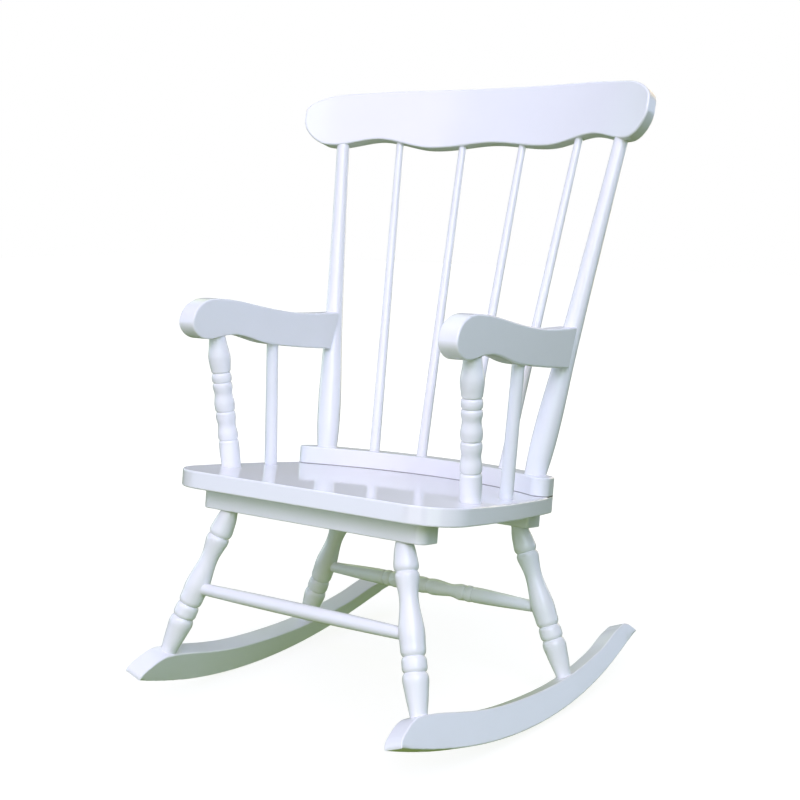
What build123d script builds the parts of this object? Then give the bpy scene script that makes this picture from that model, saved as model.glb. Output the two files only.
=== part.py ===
from build123d import *
from math import asin, cos, degrees, radians, sin, sqrt, tan
import os

# A child's spindle-back rocking chair in painted hardwood. Millimetres.
# The chair is set out with its seat level: X to the sitter's left, Y to the rear, Z up,
# and Z = 0 on the seat's top. place_at_rest() then tips it back on to its rockers.
# Only the left-hand pieces are set out, and the right-hand ones are their mirror images.

# ---------------------------------------------------------------- seat board
SEAT_HALF_WIDTH = 191.5
SEAT_WIDEST_Y = -95.0
SEAT_SIDE_RADIUS = 900.0
SEAT_FRONT_Y = -188.0
SEAT_THICKNESS = 20.0
SEAT_FRONT_CORNER = 50.0
SEAT_REAR_CORNER = 14.0
SEAT_EASING = 2.0

# ---------------------------------------------------------------- back rail, an arc on the seat
RAIL_CENTRE_Y = -188.6
RAIL_LINE_RADIUS = 296.6
RAIL_WIDTH = 33.6
RAIL_HEIGHT = 21.8
RAIL_FRONT_CORNER = 12.0
RAIL_EASING = 2.0
RAIL_REBATE = 1.0
RAIL_REBATE_GAP = 0.3
RAIL_POST_ANGLE = degrees(asin((SEAT_HALF_WIDTH - 39.6) / RAIL_LINE_RADIUS))
RAIL_SPINDLE_PITCH = 12.5
RAIL_END_SCREW_ANGLE = RAIL_POST_ANGLE - 6.1

# ---------------------------------------------------------------- crest rail, a bent and scrolled board
CREST_Y = 165.4
CREST_Z = 408.5
CREST_LEAN = 8.3
CREST_LINE_RADIUS = 443.2
CREST_THICKNESS = 18.0
CREST_EASING = 2.0
CREST_HALF_WIDTH = 245.5
CREST_POST_ANGLE = degrees(asin((CREST_HALF_WIDTH - 44.3) / CREST_LINE_RADIUS))
CREST_SPINDLE_PITCH = 11.35
CREST_TOP = 86.6
CREST_SHOULDER = (CREST_HALF_WIDTH - 57.5, 74.5)
CREST_END_TOP = (CREST_HALF_WIDTH - 11.0, 59.0)
CREST_END_WAIST = 40.0
CREST_LOBE_RADIUS = 28.5
CREST_LOBE_START = (CREST_HALF_WIDTH - CREST_LOBE_RADIUS, -1.5)
CREST_UNDERSIDE_WAVES = ((0.0, 15.0), (88.5, 6.8), (150.0, 14.0))

# ---------------------------------------------------------------- back posts and back spindles
BACK_SPINDLES = 4
POST_FOOT_DIAMETER = 25.0
POST_SWELL = (36.0, 29.0)
POST_WAIST = (126.0, 24.6)
POST_ABOVE_ARM = (220.0, 20.6)
POST_HEAD_DIAMETER = 16.6
POST_FOOT_TENON = 16.0
POST_HEAD_TENON = 10.5
POST_DEPTH_IN_SEAT = 13.0
SPINDLE_FOOT_DIAMETER = 13.0
SPINDLE_HEAD_DIAMETER = 9.4
SPINDLE_FOOT_TENON = 11.0
SPINDLE_HEAD_TENON = 8.0
SPINDLE_DEPTH_IN_RAIL = 16.0
CREST_TENON_HEIGHT = 34.0

# ---------------------------------------------------------------- arms, edge-on boards
ARM_THICKNESS = 23.5
ARM_X = SEAT_HALF_WIDTH - 19.1
ARM_SPLAY = 1.1
ARM_UNDERSIDE_Z = 147.0
ARM_EASING = 2.0
ARM_UNDERSIDE = ((90, 1), (10, 0), (-30, 0.9), (-60, 2.8), (-91, 8.2), (-115, 9.6), (-138, 5.8),
                 (-159, 2.3), (-177, 7.0))
ARM_NOSE = (-185.5, 20.0)
ARM_TOP = ((-181, 34), (-165, 46), (-137, 50.3), (-113, 49.9), (-81, 47.2), (-40, 44), (0, 42.8),
           (50, 45.6), (95, 50))
ARM_COPE = 0.5
ARM_END_RAKE = 8.0
ARM_SCREW_Z = 171.0

# ---------------------------------------------------------------- arm posts and arm spindles
ARM_POST_FOOT = (SEAT_HALF_WIDTH - 24.7, -100.2)
ARM_POST_HEAD_Y = -133.4
ARM_POST_HEAD_Z = 155.0
ARM_SPINDLE_FOOT = (SEAT_HALF_WIDTH - 24.0, -26.0)
ARM_SPINDLE_HEAD_Y = -32.7
ARM_POST_FOOT_DIAMETER = 22.0
ARM_POST_HEAD_DIAMETER = 18.4
ARM_POST_GROOVES = ((33, 23.2), (67.3, 22.9), (-56.7, 22.7), (-45.2, 22.5))
ARM_POST_LOWER_BODIES = ([(18, 24.0)], [(39.5, 23.6), (51, 20.8), (61, 23.4)])
ARM_POST_UPPER_BODIES = ([(76, 23.9), (89, 20.7), (97, 23.2)], [(-51, 23.5)])
ARM_POST_BULB = [(-27, 25.9), (-12, 21.4)]
ARM_POST_TENON = 13.0
ARM_POST_TENON_LENGTH = 15.0
ARM_SPINDLE_FOOT_DIAMETER = 15.4
ARM_SPINDLE_HEAD_DIAMETER = 14.2
ARM_SPINDLE_TENON = 10.0
ARM_SPINDLE_TENON_LENGTH = 14.0

# ---------------------------------------------------------------- cleats under the seat
CLEAT_DEPTH = 28.0
CLEAT_HEIGHT = 23.0
CLEAT_EASING = 1.5
FRONT_CLEAT_Y = -150.0
FRONT_CLEAT_HALF_LENGTH = SEAT_HALF_WIDTH - 39.5
FRONT_CLEAT_CORNER = 10.0
REAR_CLEAT_Y = 86.0
REAR_CLEAT_HALF_LENGTH = SEAT_HALF_WIDTH - 46.5
REAR_CLEAT_CORNER = 3.0
CLEAT_SCREW_X = (-75.0, 0.0, 75.0)

# ---------------------------------------------------------------- rockers, leaning boards
# The points of the outline are places along the board and heights above its tread.
ROCKER_THICKNESS = 23.0
ROCKER_X = FRONT_CLEAT_HALF_LENGTH + 33.4
ROCKER_Z = -212.3
ROCKER_LEAN = 20.5
ROCKER_TOE_IN = 3.8
ROCKER_RADIUS = 721.4
ROCKER_TREAD_Y = -52.0
ROCKER_TREAD_DEPTH = 45.0
ROCKER_EASING = 1.6
ROCKER_FRONT_TIP_Y = -229.0
ROCKER_FRONT_NOSE = (-218.0, 16.5)
ROCKER_FRONT_CROWN = (-190.0, 33.2)
ROCKER_TOP = ((-110, 35.7), (-50, 33.7), (0, 32.8), (60, 30.3), (108, 28.0), (148, 26.7), (195, 25.9))
ROCKER_REAR_CROWN = (250.0, 21.2)
ROCKER_REAR_NOSE = (268.0, 8.1)
ROCKER_REAR_TIP_Y = 277.0

# ---------------------------------------------------------------- legs
FRONT_LEG_HEAD_X = FRONT_CLEAT_HALF_LENGTH - 32.2
REAR_LEG_HEAD_X = REAR_CLEAT_HALF_LENGTH - 20.2
FRONT_LEG_FOOT = (-179.7, 34.1)
REAR_LEG_FOOT = (102.5, 28.8)
LEG_FOOT_DIAMETER = 18.2
LEG_HEAD_DIAMETER = 17.4
LEG_SWELL = (81.0, 27.6)
LEG_GROOVES = ((44, 25.3), (60.3, 24.8), (-32.5, 25.0))
LEG_BODIES = ([(15, 22.4), (30, 26.3)], [(52, 26.4)], [(70, 26.7), LEG_SWELL, (-57.5, 20.4), (-42, 25.2)])
LEG_EGG = [(-22, 25.8), (-8, 21.8)]
LEG_FOOT_TENON = 12.0
LEG_FOOT_TENON_LENGTH = 16.0
LEG_HEAD_TENON = 14.0
LEG_HEAD_TENON_LENGTH = 17.0

# ---------------------------------------------------------------- stretchers
STRETCHER_TENON_LENGTH = 14.0
FRONT_STRETCHER_END = 13.5
FRONT_STRETCHER_MIDDLE = 16.2
FRONT_STRETCHER_TENON = 10.0
REAR_STRETCHER_END = 13.4
REAR_STRETCHER_TENON = 9.0
REAR_STRETCHER_GROOVES = ((82.5, 18.9), (93.4, 19.2))
REAR_STRETCHER_BODIES = ([(39, 16.7)], [(88, 20.2)], [(101, 20.0), (114, 15.2), (140, 20.2)])
REAR_STRETCHER_MIDDLE = 18.6

# ---------------------------------------------------------------- turned work
# Bodies and grooves are places and diameters, above the foot or, where negative, below the head.
GROOVE_DEPTH = 1.5
GROOVE_LIP = 2.0

# ---------------------------------------------------------------- screws and fits
SCREW_DIAMETER = 4.0
SCREW_HEAD_DIAMETER = 8.0
SCREW_HEAD_DEPTH = 2.6
SCREW_POINT = 5.0
RAIL_SCREW_LENGTH = 36.0
CLEAT_SCREW_LENGTH = 35.0
ARM_SCREW_LENGTH = 50.0
ROCKER_SCREW_LENGTH = 50.0
ROCKER_SCREW_SETBACK = 24.0
SCREW_COUNTERBORE = 9.5
SCREW_CLEARANCE = 0.05
TENON_CLEARANCE = 0.1
GLUE_SPACE = 1.0
HOUSING_CLEARANCE = 0.6
HOUSING_MARGIN = 0.5
ARM_SCREW_SINK = 1.5
TENON_CHAMFER = 0.8
TENON_ROOT = 10.0
SCRIBE_REACH = 7.0

WOOD_DENSITY = 0.00065
STEEL_DENSITY = 0.00785


def mirrored(piece):
    """The same piece for the other side of the chair."""
    return mirror(piece, Plane.YZ)


def main_solid(shape):
    return max(shape.solids(), key=lambda solid: solid.volume)


def fair_curve(*points, tangents):
    """A smooth curve through the points, at an even pace, with its tangents as stated."""
    return Spline(*points, tangents=tangents, tangent_scalars=[1] * len(tangents))


def board_of(outline, thickness):
    """A flat board with its outline in XY and its middle on Z = 0."""
    return extrude(Pos(0, 0, -thickness / 2) * make_face(outline), thickness)


def cylinder_along(axis_plane, start, end, diameter):
    """A round rod on the plane's normal, from one height to another."""
    rod = extrude(Pos(0, 0, start) * Circle(diameter / 2), end - start)
    return axis_plane.location * rod


# ---------------------------------------------------------------- turned pieces
class Turning:
    """A piece turned on a lathe between two points, with a round tenon at each end.

    The outline is a list of smooth stretches of (height, diameter) pairs. Where two stretches
    meet there is a V-groove. The ends are scribed to the pieces that they stand on or carry.
    """

    def __init__(self, low, high, outline, foot_tenon, head_tenon, housing=0.0, head_reach=SCRIBE_REACH):
        self.axis = Plane(origin=low, z_dir=high - low)
        self.length = (high - low).length
        self.outline = outline(self.length)
        self.foot_diameter, self.foot_depth = foot_tenon
        self.head_diameter, self.head_depth = head_tenon
        self.housing = housing
        self.head_reach = head_reach

    def point(self, height):
        return self.axis.origin + self.axis.z_dir * height

    def body(self):
        """The turned body, run on past both ends."""
        edges = []
        for stretch in self.outline:
            points = [(diameter / 2, height) for height, diameter in stretch]
            edges.append(Spline(*points) if len(points) > 2 else Line(*points))
        foot = edges[0] @ 0
        head = edges[-1] @ 1
        low = foot.Y - (self.housing or SCRIBE_REACH)
        high = head.Y + self.head_reach
        ends = Polyline(head, (head.X, high), (0, high), (0, low), (foot.X, low), foot)
        half_section = Plane.XZ * make_face([*edges, ends])
        return self.axis.location * revolve(half_section, Axis.Z)

    def tenons(self):
        """Both tenons, rooted inside the body."""
        foot = cylinder_along(self.axis, -self.foot_depth, TENON_ROOT, self.foot_diameter)
        head = cylinder_along(self.axis, self.length - TENON_ROOT, self.length + self.head_depth,
                              self.head_diameter)
        along = Axis(self.axis.origin, self.axis.z_dir)
        foot_end = foot.faces().sort_by(along)[0]
        head_end = head.faces().sort_by(along)[-1]
        return chamfer(foot_end.edges(), TENON_CHAMFER), chamfer(head_end.edges(), TENON_CHAMFER)

    def solid(self, *hosts):
        """The finished piece, its ends scribed to the uncut pieces that it meets."""
        body = self.body()
        for host in hosts:
            body = body - host
        foot, head = self.tenons()
        return main_solid(main_solid(body) + foot + head)

    def foot_socket(self):
        socket = cylinder_along(self.axis, -self.foot_depth - GLUE_SPACE, SCRIBE_REACH,
                                self.foot_diameter + 2 * TENON_CLEARANCE)
        if not self.housing:
            return socket
        mouth = self.outline[0][0][1] + 2 * HOUSING_CLEARANCE
        return socket + cylinder_along(self.axis, -self.housing, SCRIBE_REACH, mouth)

    def head_socket(self):
        return cylinder_along(self.axis, self.length - SCRIBE_REACH,
                              self.length + self.head_depth + GLUE_SPACE,
                              self.head_diameter + 2 * TENON_CLEARANCE)


def tapered(foot_diameter, head_diameter):
    return lambda length: [[(0, foot_diameter), (length, head_diameter)]]


def post_outline(length):
    """A back post: full at the foot, and a long taper up to the crest rail."""
    return [[(0, POST_FOOT_DIAMETER), POST_SWELL, POST_WAIST, POST_ABOVE_ARM, (length, POST_HEAD_DIAMETER)]]


def from_foot(stations, length):
    """Stations measured from the foot alone."""
    return [(height if height >= 0 else length + height, diameter) for height, diameter in stations]


def grooved(foot, bodies, grooves, length):
    """A smooth stretch for each body, closed by a groove with a rounded lip on both sides.

    The stations that open the next stretch are the second value.
    """
    opening = [(0, foot)]
    stretches = []
    for body, (height, diameter) in zip(bodies, from_foot(grooves, length), strict=True):
        bottom = (height, diameter - 2 * GROOVE_DEPTH)
        closing = [(height - GROOVE_LIP, diameter), bottom]
        stretches.append([*opening, *from_foot(body, length), *closing])
        opening = [bottom, (height + GROOVE_LIP, diameter)]
    return stretches, opening


def leg_outline(length):
    """A leg: bulb and bead at the foot, a vase at the stretcher, and an egg under the cleat."""
    stretches, opening = grooved(LEG_FOOT_DIAMETER, LEG_BODIES, LEG_GROOVES, length)
    egg = [*opening, *from_foot(LEG_EGG, length), (length, LEG_HEAD_DIAMETER)]
    return [*stretches, egg]


def arm_post_outline(length):
    """An arm post: two small vases and a bead between the foot and a long bulb at the head."""
    bodies = ARM_POST_LOWER_BODIES + ARM_POST_UPPER_BODIES
    stretches, opening = grooved(ARM_POST_FOOT_DIAMETER, bodies, ARM_POST_GROOVES, length)
    bulb = [*opening, *from_foot(ARM_POST_BULB, length), (length, ARM_POST_HEAD_DIAMETER)]
    return [*stretches, bulb]


def front_stretcher_outline(length):
    return [[(0, FRONT_STRETCHER_END), (length / 2, FRONT_STRETCHER_MIDDLE), (length, FRONT_STRETCHER_END)]]


def rear_stretcher_outline(length):
    """A long taper, a bead and a vase from each end, and the vases meet at a groove in the middle."""
    grooves = [*REAR_STRETCHER_GROOVES, (length / 2, REAR_STRETCHER_MIDDLE)]
    half, _ = grooved(REAR_STRETCHER_END, REAR_STRETCHER_BODIES, grooves, length)
    mirrored_half = [[(length - height, diameter) for height, diameter in stretch[::-1]]
                     for stretch in half[::-1]]
    return half + mirrored_half


# ---------------------------------------------------------------- seat, rail and cleats
def on_rail_line(angle, z):
    """A point on the arc of the back rail, at an angle from the middle."""
    turn = radians(angle)
    return Vector(RAIL_LINE_RADIUS * sin(turn), RAIL_CENTRE_Y + RAIL_LINE_RADIUS * cos(turn), z)


def seat_outline():
    """The seat board from above: straight front, bowed sides and a rear edge on the back rail's arc."""
    rear_radius = RAIL_LINE_RADIUS + RAIL_WIDTH / 2
    rear_y = RAIL_CENTRE_Y + rear_radius
    board = Pos(0, (SEAT_FRONT_Y + rear_y) / 2) * Rectangle(3 * SEAT_HALF_WIDTH, rear_y - SEAT_FRONT_Y)
    side_centre = SEAT_SIDE_RADIUS - SEAT_HALF_WIDTH
    for side in (-1, 1):
        board = board & Pos(side * side_centre, SEAT_WIDEST_Y) * Circle(SEAT_SIDE_RADIUS)
    outline = board & Pos(0, RAIL_CENTRE_Y) * Circle(rear_radius)
    corners = outline.vertices().sort_by(Axis.Y)
    outline = fillet(corners[:2], SEAT_FRONT_CORNER)
    corners = outline.vertices().group_by(Axis.Y)[-1]
    return fillet(corners, SEAT_REAR_CORNER)


def rail_outline(gap=0.0):
    """The back rail from above: an arc whose ends are flush with the seat's sides."""
    inner_radius = RAIL_LINE_RADIUS - RAIL_WIDTH / 2 - gap
    outline = seat_outline() - Pos(0, RAIL_CENTRE_Y) * Circle(inner_radius)
    corners = outline.vertices().group_by(Axis.Y)[0]
    return fillet(corners, RAIL_FRONT_CORNER)


def seat_blank():
    """The seat board, its top and bottom edges eased."""
    seat = extrude(seat_outline(), -SEAT_THICKNESS)
    rims = seat.faces().filter_by(Plane.XY).edges()
    return fillet(rims, SEAT_EASING)


def rail_blank():
    """The back rail: an arc-shaped bar let a little way into the seat."""
    bar = Pos(0, 0, -RAIL_REBATE) * extrude(rail_outline(), RAIL_HEIGHT + RAIL_REBATE)
    return fillet(bar.faces().sort_by(Axis.Z)[-1].edges(), RAIL_EASING)


def cleat_blank(y, half_length, corner):
    """A cleat: a bar across the seat's underside with rounded front corners."""
    bar = Pos(0, y, -SEAT_THICKNESS - CLEAT_HEIGHT / 2) * Box(2 * half_length, CLEAT_DEPTH, CLEAT_HEIGHT)
    uprights = bar.edges().filter_by(Axis.Z).sort_by(Axis.Y)
    bar = fillet(uprights[:2], corner)
    return fillet(bar.faces().sort_by(Axis.Z)[0].edges(), CLEAT_EASING)


# ---------------------------------------------------------------- crest rail
def crest_frame():
    """The crest's own frame: X across the chair, Y to the back of the board, Z up the board."""
    lean = radians(CREST_LEAN)
    return Plane(origin=(0, CREST_Y, CREST_Z), x_dir=(1, 0, 0), z_dir=(0, sin(lean), cos(lean)))


def on_crest_line(angle, height=0.0):
    """A point in the middle of the crest's thickness, at an angle from its centre."""
    turn = radians(angle)
    local = (CREST_LINE_RADIUS * sin(turn), CREST_LINE_RADIUS * (cos(turn) - 1), height)
    return crest_frame().from_local_coords(Vector(*local))


def crest_outline():
    """The crest seen from the front: a wavy underside, round lobes at the ends and a low arch above."""
    waves = [Vector(x, z) for x, z in (*CREST_UNDERSIDE_WAVES, CREST_LOBE_START)]
    under_points = [Vector(-point.X, point.Y) for point in reversed(waves[1:])] + waves
    underside = fair_curve(*under_points, tangents=[(1, 0)] * len(under_points))
    half_underside_end = waves[-1]
    lobe_end = Vector(CREST_HALF_WIDTH, half_underside_end.Y + CREST_LOBE_RADIUS)
    lobe = fair_curve(half_underside_end, lobe_end, tangents=[(1, 0), (0, 1)])
    waist = Vector(CREST_HALF_WIDTH, CREST_END_WAIST)
    upright = Line(lobe_end, waist)
    shoulder = fair_curve(waist, CREST_END_TOP, CREST_SHOULDER, (0, CREST_TOP), tangents=[(0, 1), (-1, 0)])
    left = [lobe, upright, shoulder]
    right = [mirror(edge, Plane.YZ) for edge in left]
    return make_face([underside, *left, *right])


def crest_blank():
    """The crest: a bent board sawn to its outline, with eased edges."""
    front_radius = CREST_LINE_RADIUS - CREST_THICKNESS / 2
    rear_radius = CREST_LINE_RADIUS + CREST_THICKNESS / 2
    ring = Pos(0, -CREST_LINE_RADIUS) * (Circle(rear_radius) - Circle(front_radius))
    slab = Pos(0, 0, -CREST_TOP) * extrude(ring, 3 * CREST_TOP)
    sawn = extrude(Plane.XZ.offset(-CREST_LINE_RADIUS / 2) * crest_outline(), CREST_LINE_RADIUS)
    crest = main_solid(slab & sawn)
    faces = crest.faces().sort_by(SortBy.AREA)[-2:]
    crest = fillet(faces[0].edges() + faces[1].edges(), CREST_EASING)
    return crest_frame().location * crest


# ---------------------------------------------------------------- arms
def arm_frame():
    """The arm's own frame: X to the rear along the arm, Y up, Z out of its side."""
    splay = radians(ARM_SPLAY)
    return Plane(origin=(ARM_X, 0, ARM_UNDERSIDE_Z), x_dir=(-sin(splay), cos(splay), 0),
                 z_dir=(cos(splay), sin(splay), 0))


def arm_x(y):
    """How far the arm's middle is from the chair's middle, at a depth."""
    return ARM_X - y * tan(radians(ARM_SPLAY))


def arm_blank(post):
    """The arm: a board sawn to a scrolled outline, its rear end raked and coped to the back post."""
    underside = fair_curve(*ARM_UNDERSIDE, ARM_NOSE, tangents=[(-1, 0), (0, 1)])
    top = fair_curve(ARM_NOSE, *ARM_TOP, tangents=[(0, 1), (1, 0.1)])
    rear = Line(top @ 1, underside @ 0)
    arm = board_of([underside, top, rear], ARM_THICKNESS)
    sides = arm.faces().sort_by(Axis.Z)
    rims = sides[0].edges() + sides[-1].edges()
    curved = [edge for edge in rims if edge.geom_type != GeomType.LINE]
    arm = arm_frame().location * fillet(curved, ARM_EASING)
    seam = arm_seam(post)
    setback = seam_diameter(post) / 2 - ARM_COPE
    rake = radians(ARM_END_RAKE)
    square_to_end = seam.z_dir * cos(rake) + post.axis.z_dir * sin(rake)
    end = Plane(origin=seam.offset(setback).origin, z_dir=square_to_end)
    arm = split(arm, bisect_by=end, keep=Keep.TOP)
    return main_solid(arm - post.body())


def arm_seam(post):
    """A plane square to the line of the arm screw, through the back post's axis."""
    along_post = post.axis.z_dir
    toward_arm = arm_frame().x_dir * -1
    forward = (toward_arm - along_post * along_post.dot(toward_arm)).normalized()
    return Plane(origin=post.point(seam_reach(post)), z_dir=forward)


def seam_reach(post):
    """How far up the back post the arm screw goes through it."""
    return (ARM_SCREW_Z - RAIL_HEIGHT) / post.axis.z_dir.Z


def seam_diameter(post):
    return diameter_at(post.outline, seam_reach(post))


def diameter_at(outline, height):
    """The diameter of a turned outline at a height, read between its two nearest stations."""
    stations = [station for stretch in outline for station in stretch]
    for (low, low_diameter), (high, high_diameter) in zip(stations, stations[1:]):
        if low <= height <= high:
            return low_diameter + (high_diameter - low_diameter) * (height - low) / (high - low)
    return stations[-1][1]


# ---------------------------------------------------------------- rockers
def rocker_frame():
    """The left rocker's own frame: X to the rear along the board, Y up the board, Z out of its side."""
    along = Vector(sin(radians(ROCKER_TOE_IN)), cos(radians(ROCKER_TOE_IN)), 0)
    up = Vector(-sin(radians(ROCKER_LEAN)), 0, cos(radians(ROCKER_LEAN)))
    return Plane(origin=(ROCKER_X, 0, ROCKER_Z), x_dir=along, z_dir=along.cross(up))


def above_tread(y, height=0.0):
    """A point at a height above the rocker's curved underside, in the board's own frame."""
    fall = ROCKER_RADIUS - sqrt(ROCKER_RADIUS**2 - (y - ROCKER_TREAD_Y) ** 2)
    return Vector(y, fall - ROCKER_TREAD_DEPTH + height)


def rocker_blank():
    """A rocker: a flat board with a round tread, a hollow top edge and noses that run down to tips."""
    front_tip = above_tread(ROCKER_FRONT_TIP_Y)
    front_crown = above_tread(*ROCKER_FRONT_CROWN)
    rear_crown = above_tread(*ROCKER_REAR_CROWN)
    rear_tip = above_tread(ROCKER_REAR_TIP_Y)
    tread = ThreePointArc(front_tip, above_tread(ROCKER_TREAD_Y), rear_tip)
    front_nose = fair_curve(front_tip, above_tread(*ROCKER_FRONT_NOSE), front_crown,
                            tangents=[(-0.2, 1), (1, 0)])
    hollow = [above_tread(y, height) for y, height in ROCKER_TOP]
    top = fair_curve(front_crown, *hollow, rear_crown, tangents=[(1, 0), (1, 0)])
    rear_nose = fair_curve(rear_crown, above_tread(*ROCKER_REAR_NOSE), rear_tip, tangents=[(1, 0), (0.5, -1)])
    board = board_of([tread, front_nose, top, rear_nose], ROCKER_THICKNESS)
    sides = board.faces().sort_by(Axis.Z)
    board = fillet(sides[0].edges() + sides[-1].edges(), ROCKER_EASING)
    return rocker_frame().location * board


# ---------------------------------------------------------------- screws
def screw_shape(length, growth=0.0):
    """A countersunk wood screw that points up Z, its head flush with Z = 0."""
    head = SCREW_HEAD_DIAMETER / 2 + growth
    shank = SCREW_DIAMETER / 2 + growth
    tip = shank / 4
    outline = Polyline((0, 0), (head, 0), (shank, SCREW_HEAD_DEPTH), (shank, length - SCREW_POINT),
                       (tip, length + growth), (0, length + growth), (0, 0))
    return revolve(Plane.XZ * make_face(outline), Axis.Z)


def screw_set(planes, length):
    """The screws of one joint, and the holes that they are driven into."""
    screws = [plane.location * screw_shape(length) for plane in planes]
    holes = [plane.location * screw_shape(length, SCREW_CLEARANCE) for plane in planes]
    return screws, holes


def upward(x, y, z):
    return Plane(origin=(x, y, z), z_dir=(0, 0, 1))


# ---------------------------------------------------------------- setting out the turned pieces
def back_post():
    depth = RAIL_HEIGHT + POST_DEPTH_IN_SEAT
    return Turning(on_rail_line(RAIL_POST_ANGLE, RAIL_HEIGHT), on_crest_line(CREST_POST_ANGLE), post_outline,
                   (POST_FOOT_TENON, depth), (POST_HEAD_TENON, CREST_TENON_HEIGHT))


def back_spindle(number):
    """Back spindles are numbered from the sitter's right."""
    step = number - (BACK_SPINDLES + 1) / 2
    return Turning(on_rail_line(step * RAIL_SPINDLE_PITCH, RAIL_HEIGHT),
                   on_crest_line(step * CREST_SPINDLE_PITCH),
                   tapered(SPINDLE_FOOT_DIAMETER, SPINDLE_HEAD_DIAMETER),
                   (SPINDLE_FOOT_TENON, SPINDLE_DEPTH_IN_RAIL), (SPINDLE_HEAD_TENON, CREST_TENON_HEIGHT),
                   head_reach=CREST_TENON_HEIGHT - SCRIBE_REACH)


def housing_depth(low, high, diameter):
    """How far a leaning turning goes into its housing, so that all of its end is below the surface."""
    run = high - low
    return diameter / 2 * sqrt(run.X**2 + run.Y**2) / run.Z + HOUSING_MARGIN


def arm_support(foot, head_y, head_z, outline, foot_diameter, tenon, tenon_length):
    low = Vector(*foot, 0)
    high = Vector(arm_x(head_y), head_y, head_z)
    return Turning(low, high, outline, (tenon, tenon_length), (tenon, tenon_length),
                   housing=housing_depth(low, high, foot_diameter))


def arm_post():
    return arm_support(ARM_POST_FOOT, ARM_POST_HEAD_Y, ARM_POST_HEAD_Z, arm_post_outline,
                       ARM_POST_FOOT_DIAMETER, ARM_POST_TENON, ARM_POST_TENON_LENGTH)


def arm_spindle():
    outline = tapered(ARM_SPINDLE_FOOT_DIAMETER, ARM_SPINDLE_HEAD_DIAMETER)
    return arm_support(ARM_SPINDLE_FOOT, ARM_SPINDLE_HEAD_Y, ARM_UNDERSIDE_Z, outline,
                       ARM_SPINDLE_FOOT_DIAMETER, ARM_SPINDLE_TENON, ARM_SPINDLE_TENON_LENGTH)


def leg(foot, head_x, head_y):
    foot = rocker_frame().from_local_coords(above_tread(*foot))
    head = Vector(head_x, head_y, -SEAT_THICKNESS - CLEAT_HEIGHT)
    return Turning(foot, head, leg_outline, (LEG_FOOT_TENON, LEG_FOOT_TENON_LENGTH),
                   (LEG_HEAD_TENON, LEG_HEAD_TENON_LENGTH))


def stretcher(leg_turning, outline, tenon):
    """A stretcher across the chair between the swells of two legs."""
    height, diameter = LEG_SWELL
    bored = leg_turning.point(height)
    inset = diameter / 2
    low = Vector(-bored.X + inset, bored.Y, bored.Z)
    high = Vector(bored.X - inset, bored.Y, bored.Z)
    return Turning(low, high, outline, (tenon, STRETCHER_TENON_LENGTH), (tenon, STRETCHER_TENON_LENGTH))


# ---------------------------------------------------------------- resting on the floor
def centre_of_mass(pieces):
    """The chair's centre of mass, with wood and steel at their own densities."""
    total = 0.0
    moment = Vector(0, 0, 0)
    for name, solids in pieces.items():
        density = STEEL_DENSITY if name.endswith("screws") else WOOD_DENSITY
        for solid in solids:
            mass = density * solid.volume
            total += mass
            moment += solid.center(CenterOf.MASS) * mass
    return moment / total


def rest_tilt(mass_centre):
    """The backward tilt at which the chair rests: its centre of mass is then at its lowest."""
    frame = rocker_frame()
    tread_edge = ROCKER_EASING - ROCKER_THICKNESS / 2
    centre_height = ROCKER_RADIUS - ROCKER_TREAD_DEPTH
    arc_centre = frame.from_local_coords(Vector(ROCKER_TREAD_Y, centre_height, tread_edge))
    radius = ROCKER_RADIUS - ROCKER_EASING

    def height(tilt):
        up = Vector(0, -sin(tilt), cos(tilt))
        in_board = sqrt(1 - up.dot(frame.z_dir) ** 2)
        return up.dot(mass_centre - arc_centre) + radius * in_board

    low, high = radians(-30), radians(30)
    while high - low > 1e-7:
        first = low + (high - low) / 3
        second = high - (high - low) / 3
        if height(first) < height(second):
            high = second
        else:
            low = first
    return (low + high) / 2


def place_at_rest(pieces):
    """Tips the chair back, stands it on Z = 0 and centres it front to back."""
    tilt = rest_tilt(centre_of_mass(pieces))
    turn = Rot(X=-degrees(tilt))
    turned_solids = [turn * solid for solids in pieces.values() for solid in solids]
    box = Compound(turned_solids).bounding_box()
    move = Pos(0, -(box.min.Y + box.max.Y) / 2, -box.min.Z)
    print(f"rest tilt {degrees(tilt):.3f} degrees, seat datum at y {-(box.min.Y + box.max.Y) / 2:.3f},"
          f" z {-box.min.Z:.3f}, size {box.size.X:.1f} x {box.size.Y:.1f} x {box.size.Z:.1f}")
    return {name: [move * turn * solid for solid in solids] for name, solids in pieces.items()}


# ---------------------------------------------------------------- assembly
def cut(blank, cutters):
    shape = blank
    for cutter in cutters:
        shape = shape - cutter
    return main_solid(shape)


def both_sides(shapes):
    return [*shapes, *[mirrored(shape) for shape in shapes]]


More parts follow.
